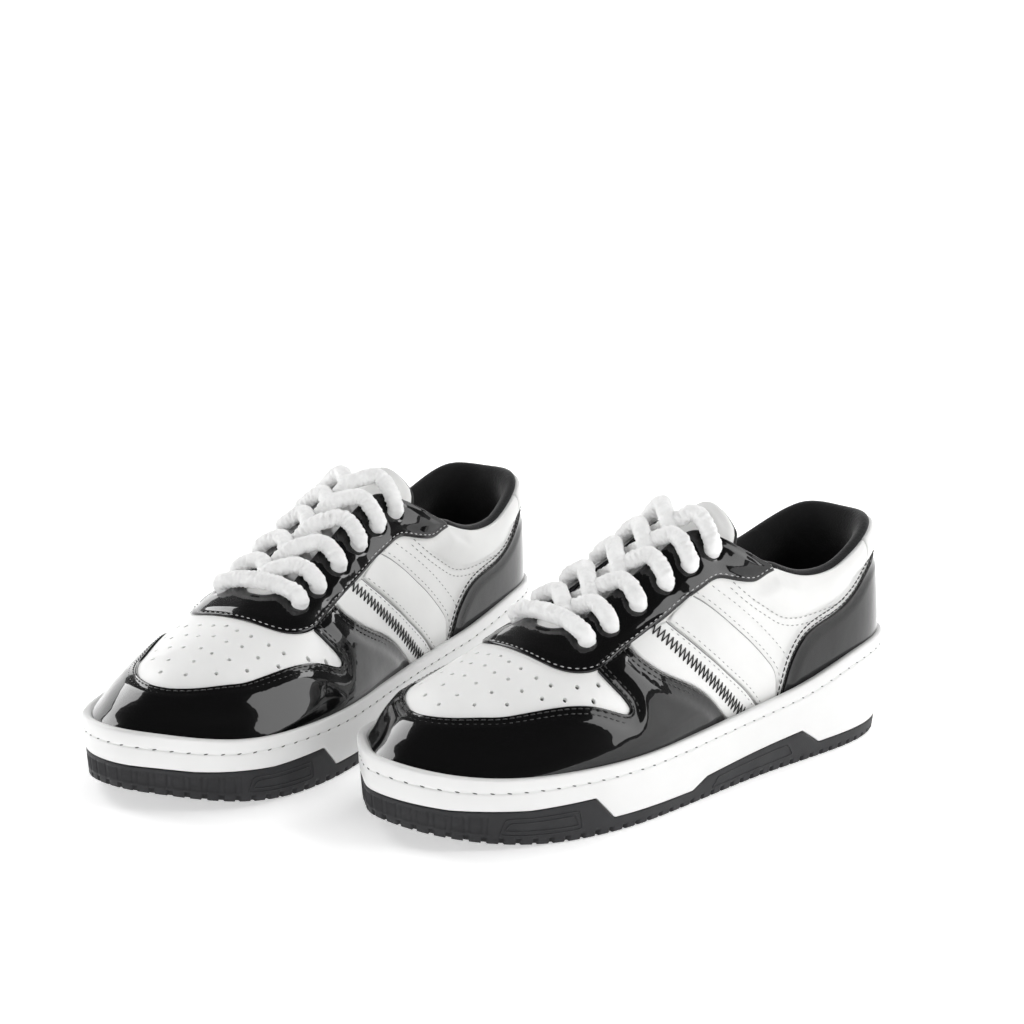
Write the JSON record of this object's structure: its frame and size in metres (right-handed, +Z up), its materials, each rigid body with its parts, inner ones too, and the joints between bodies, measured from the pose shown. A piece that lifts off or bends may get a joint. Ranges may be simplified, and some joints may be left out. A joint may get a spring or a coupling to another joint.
{
  "type": "pair of lace-up court sneakers",
  "caption": "Pair of low-top lace-up court shoes with patent toe cap, eyestay and heel overlay, perforated vamp, thick round laces and a stitched cupsole.",
  "frame": {"origin": "bottom centre of the pair's bounding box, on the ground", "axes": "+Z up, toes towards -Y; the left shoe is at +X and points along -Y, the right shoe is at -X and turned 18.65 degrees, its toe towards +X"},
  "size_m": [0.2434, 0.3392, 0.111],
  "materials": {
    "outsole_rubber": "matt moulded rubber",
    "sidewall_rubber": "satin moulded rubber, stitched near the rim",
    "white_leather": "smooth coated leather",
    "black_patent": "patent, mirror gloss",
    "lining_textile": "knitted textile",
    "foam": "open foam",
    "board": "pressed fibre board",
    "stiffener": "heat-formed sheet",
    "white_rope": "soft round cord",
    "aglet_plastic": "clear moulded tip"
  },
  "bodies": {
    "left_shoe": {"left_outsole": "outsole_rubber", "left_midsole": "sidewall_rubber", "left_insole_board": "board", "left_sockliner": "lining_textile", "left_toe_puff": "stiffener", "left_heel_counter": "stiffener", "left_vamp": "white_leather", "left_vamp_lining": "lining_textile", "left_toe_cap": "black_patent", "left_eyestay": "black_patent", "left_quarter_lateral": "white_leather", "left_quarter_medial": "white_leather", "left_side_lining_lateral": "lining_textile", "left_side_lining_medial": "lining_textile", "left_front_band_lateral": "white_leather", "left_front_band_medial": "white_leather", "left_rear_band_lateral": "white_leather", "left_rear_band_medial": "white_leather", "left_heel_overlay": "black_patent", "left_heel_tab": "white_leather", "left_collar_padding": "foam", "left_collar_lining": "lining_textile", "left_lace": "white_rope", "left_aglets": "aglet_plastic"},
    "left_tongue_body": {"left_tongue": "white_leather", "left_tongue_lining": "lining_textile"},
    "right_shoe": {"right_outsole": "outsole_rubber", "right_midsole": "sidewall_rubber", "right_insole_board": "board", "right_sockliner": "lining_textile", "right_toe_puff": "stiffener", "right_heel_counter": "stiffener", "right_vamp": "white_leather", "right_vamp_lining": "lining_textile", "right_toe_cap": "black_patent", "right_eyestay": "black_patent", "right_quarter_lateral": "white_leather", "right_quarter_medial": "white_leather", "right_side_lining_lateral": "lining_textile", "right_side_lining_medial": "lining_textile", "right_front_band_lateral": "white_leather", "right_front_band_medial": "white_leather", "right_rear_band_lateral": "white_leather", "right_rear_band_medial": "white_leather", "right_heel_overlay": "black_patent", "right_heel_tab": "white_leather", "right_collar_padding": "foam", "right_collar_lining": "lining_textile", "right_lace": "white_rope", "right_aglets": "aglet_plastic"},
    "right_tongue_body": {"right_tongue": "white_leather", "right_tongue_lining": "lining_textile"}
  },
  "joints": [
    {"name": "left_tongue_tilt", "type": "hinge", "parent": "left_shoe", "child": "left_tongue_body", "pos_m": [0.06805, -0.02647, 0.053], "axis": [-1, 0, 0], "range_deg": [0, 8], "stiffness_Nm_per_rad": 0.2, "springref_deg": -6.88},
    {"name": "right_shoe_slide", "type": "slide", "parent": "left_shoe", "child": "right_shoe", "axis": [-1, 0, 0], "range_m": [0, 0.15]},
    {"name": "right_tongue_tilt", "type": "hinge", "parent": "right_shoe", "child": "right_tongue_body", "pos_m": [-0.03566, -0.09164, 0.053], "axis": [-0.9475, -0.3198, 0], "range_deg": [0, 8], "stiffness_Nm_per_rad": 0.2, "springref_deg": -6.88}
  ]
}
